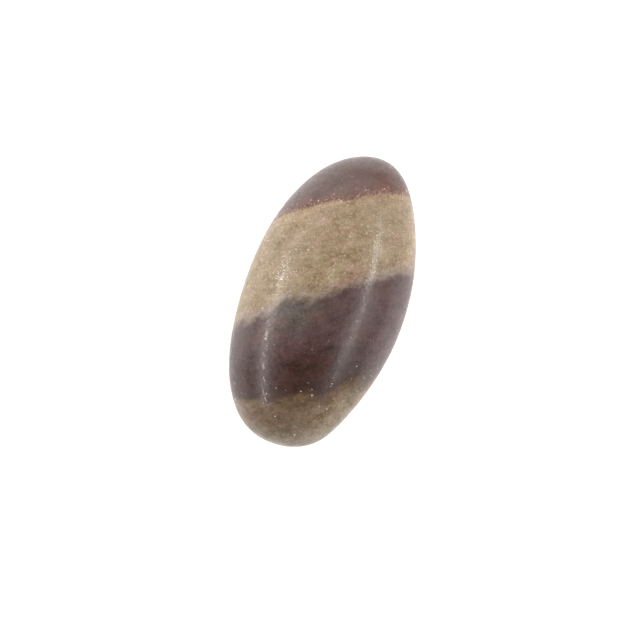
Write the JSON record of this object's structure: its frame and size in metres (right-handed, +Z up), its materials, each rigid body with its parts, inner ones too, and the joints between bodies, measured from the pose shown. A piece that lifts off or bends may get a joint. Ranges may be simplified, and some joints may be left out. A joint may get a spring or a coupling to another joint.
{
  "type": "shiva lingam stone",
  "caption": "Smooth banded river stone, worn and rubbed into a long egg with one blunt and one slender end, lying on its side.",
  "frame": {"origin": "on the resting face, under the middle of the stone's outline seen from above", "axes": "+X along the stone to its slender, dark-capped end; +Y across it; +Z up from the resting face to the crown"},
  "size_m": [0.05, 0.0268, 0.024],
  "materials": {
    "banded_stone": "hand-rubbed satin polish, purple-brown and sandy tan bands"
  },
  "bodies": {
    "root": {"stone": "banded_stone"}
  },
  "joints": []
}
